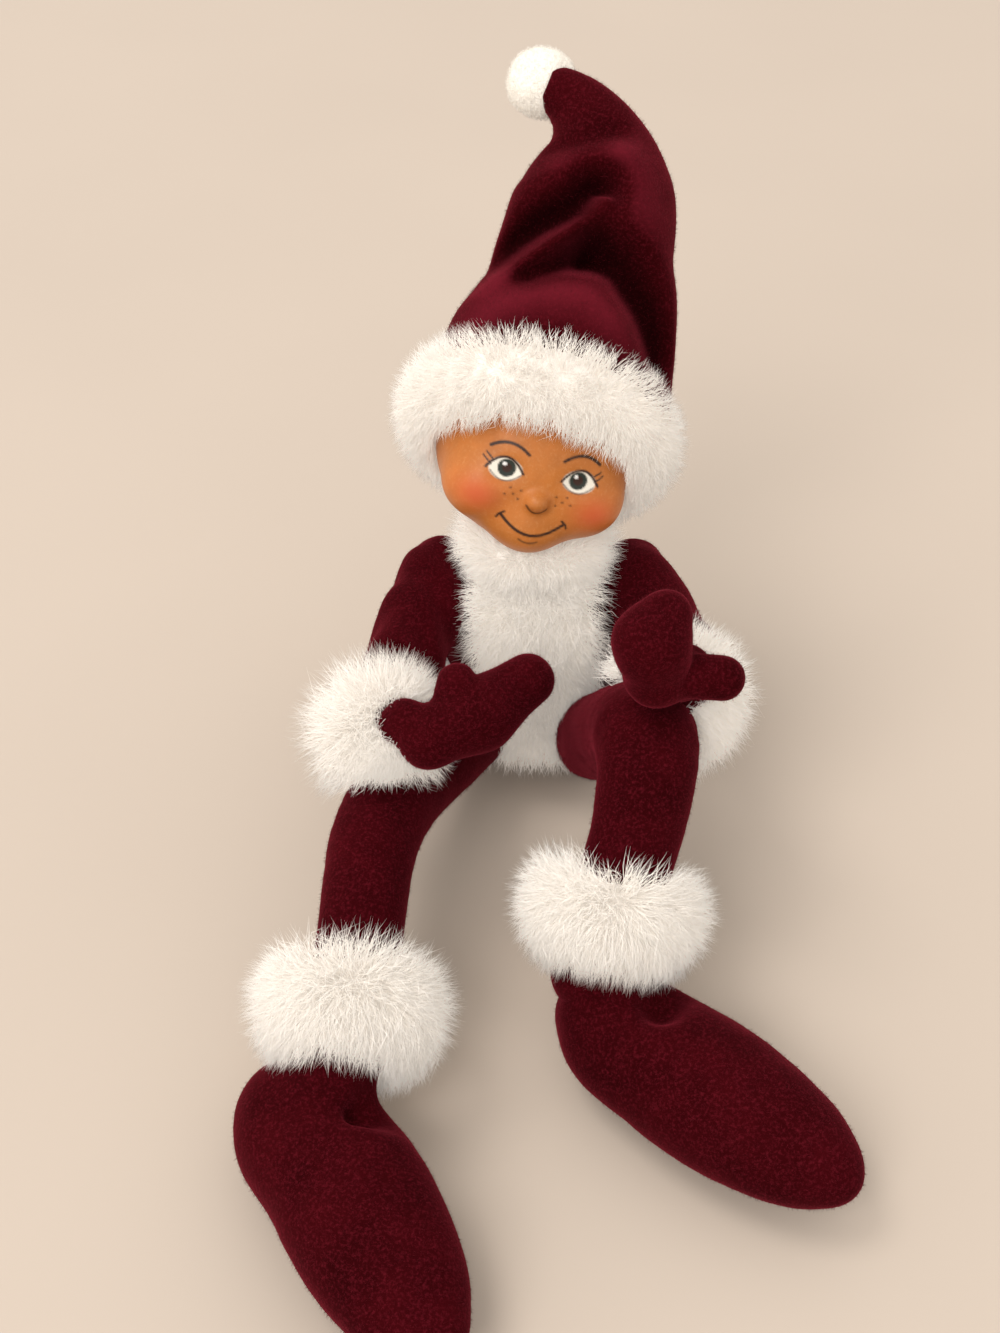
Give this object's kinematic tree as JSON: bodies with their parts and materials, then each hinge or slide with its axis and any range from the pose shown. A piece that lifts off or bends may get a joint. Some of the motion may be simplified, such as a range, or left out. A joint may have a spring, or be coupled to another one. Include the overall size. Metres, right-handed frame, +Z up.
{
  "type": "posable felt elf doll",
  "caption": "Seated posable elf doll of stuffed wine-red felt on a bendable wire frame, with a pointed hat, mittens, soft boots and white fur trim.",
  "frame": {"origin": "on the floor under the middle of the doll's seat", "axes": "+Z up, the doll faces -Y, its left side is at +X"},
  "size_m": [0.1408, 0.2813, 0.1762],
  "materials": {
    "wine_felt": "matte",
    "tan_felt": "satin",
    "white_fur": "matte",
    "stuffing": "matte",
    "steel_wire": "satin"
  },
  "bodies": {
    "torso": {"torso_felt": "wine_felt", "torso_filling": "stuffing", "spine_wire": "steel_wire", "hip_wire": "steel_wire", "shoulder_wire": "steel_wire", "chest_fur": "white_fur", "hem_fur": "white_fur", "collar_fur": "white_fur"},
    "neck": {"neck_wire": "steel_wire"},
    "head": {"head_felt": "tan_felt", "head_filling": "stuffing", "hat_crown": "wine_felt", "hat_band_fur": "white_fur"},
    "hat_tip": {"hat_tip": "wine_felt", "pompom": "white_fur"},
    "right_upper_arm": {"right_upper_arm_felt": "wine_felt", "right_upper_arm_filling": "stuffing", "right_upper_arm_wire": "steel_wire"},
    "right_forearm": {"right_forearm_felt": "wine_felt", "right_forearm_filling": "stuffing", "right_forearm_wire": "steel_wire", "right_cuff_fur": "white_fur"},
    "right_hand": {"right_mitten_felt": "wine_felt", "right_mitten_filling": "stuffing", "right_mitten_wire": "steel_wire"},
    "left_upper_arm": {"left_upper_arm_felt": "wine_felt", "left_upper_arm_filling": "stuffing", "left_upper_arm_wire": "steel_wire"},
    "left_forearm": {"left_forearm_felt": "wine_felt", "left_forearm_filling": "stuffing", "left_forearm_wire": "steel_wire", "left_cuff_fur": "white_fur"},
    "left_hand": {"left_mitten_felt": "wine_felt", "left_mitten_filling": "stuffing", "left_mitten_wire": "steel_wire"},
    "right_thigh": {"right_thigh_felt": "wine_felt", "right_thigh_filling": "stuffing", "right_thigh_wire": "steel_wire"},
    "right_shin": {"right_shin_felt": "wine_felt", "right_shin_filling": "stuffing", "right_shin_wire": "steel_wire", "right_ankle_fur": "white_fur"},
    "right_foot": {"right_boot_felt": "wine_felt", "right_boot_filling": "stuffing", "right_boot_wire": "steel_wire"},
    "left_thigh": {"left_thigh_felt": "wine_felt", "left_thigh_filling": "stuffing", "left_thigh_wire": "steel_wire"},
    "left_shin": {"left_shin_felt": "wine_felt", "left_shin_filling": "stuffing", "left_shin_wire": "steel_wire", "left_ankle_fur": "white_fur"},
    "left_foot": {"left_boot_felt": "wine_felt", "left_boot_filling": "stuffing", "left_boot_wire": "steel_wire"}
  },
  "joints": [
    {"name": "neck_nod", "type": "hinge", "parent": "torso", "child": "neck", "pos_m": [0, 0.001, 0.068], "axis": [0.9744, 0, -0.225], "range_deg": [-10, 10]},
    {"name": "head_turn", "type": "hinge", "parent": "neck", "child": "head", "pos_m": [0, 0.001, 0.068], "axis": [0.2114, 0.342, 0.9156], "range_deg": [-50, 50]},
    {"name": "hat_flop", "type": "hinge", "parent": "head", "child": "hat_tip", "pos_m": [0.00978, 0.04015, 0.14146], "axis": [-0.1672, 0.6691, -0.7241], "range_deg": [-25, 25]},
    {"name": "right_shoulder", "type": "hinge", "parent": "torso", "child": "right_upper_arm", "pos_m": [-0.0305, 0.002, 0.056], "axis": [-0.9455, 0.3256, 0], "range_deg": [0, 45]},
    {"name": "right_elbow", "type": "hinge", "parent": "right_upper_arm", "child": "right_forearm", "pos_m": [-0.04183, -0.03091, 0.05234], "axis": [0.0096, -0.2755, -0.9613], "range_deg": [0, 50]},
    {"name": "right_wrist", "type": "hinge", "parent": "right_forearm", "child": "right_hand", "pos_m": [-0.04068, -0.06406, 0.06185], "axis": [-0.1093, 0.2706, 0.9565], "range_deg": [-60, 0]},
    {"name": "left_shoulder", "type": "hinge", "parent": "torso", "child": "left_upper_arm", "pos_m": [0.0305, 0.002, 0.056], "axis": [-0.9511, -0.309, 0], "range_deg": [0, 45]},
    {"name": "left_elbow", "type": "hinge", "parent": "left_upper_arm", "child": "left_forearm", "pos_m": [0.04132, -0.03129, 0.056], "axis": [0.0285, 0.5439, 0.8387], "range_deg": [0, 50]},
    {"name": "left_wrist", "type": "hinge", "parent": "left_forearm", "child": "left_hand", "pos_m": [0.0398, -0.06018, 0.07479], "axis": [-0.7081, -0.3585, -0.6084], "range_deg": [-30, 10]},
    {"name": "right_hip", "type": "hinge", "parent": "torso", "child": "right_thigh", "pos_m": [-0.015, -0.014, 0.015], "axis": [-0.9063, 0.4226, 0], "range_deg": [-110, 0]},
    {"name": "right_knee", "type": "hinge", "parent": "right_thigh", "child": "right_shin", "pos_m": [-0.0436, -0.07534, 0.04235], "axis": [0.8699, -0.2058, 0.4482], "range_deg": [-40, 45]},
    {"name": "right_ankle", "type": "hinge", "parent": "right_shin", "child": "right_foot", "pos_m": [-0.04779, -0.13515, 0.023], "axis": [-0.8829, -0.4695, 0], "range_deg": [-15, 15]},
    {"name": "left_hip", "type": "hinge", "parent": "torso", "child": "left_thigh", "pos_m": [0.015, -0.014, 0.015], "axis": [0.9833, 0.1822, 0], "range_deg": [0, 130]},
    {"name": "left_knee", "type": "hinge", "parent": "left_thigh", "child": "left_shin", "pos_m": [0.02496, -0.06776, 0.06337], "axis": [0.975, -0.0184, -0.2213], "range_deg": [-45, 20]},
    {"name": "left_ankle", "type": "hinge", "parent": "left_shin", "child": "left_foot", "pos_m": [0.01491, -0.11507, 0.023], "axis": [-0.6428, -0.766, 0], "range_deg": [-15, 15]}
  ]
}
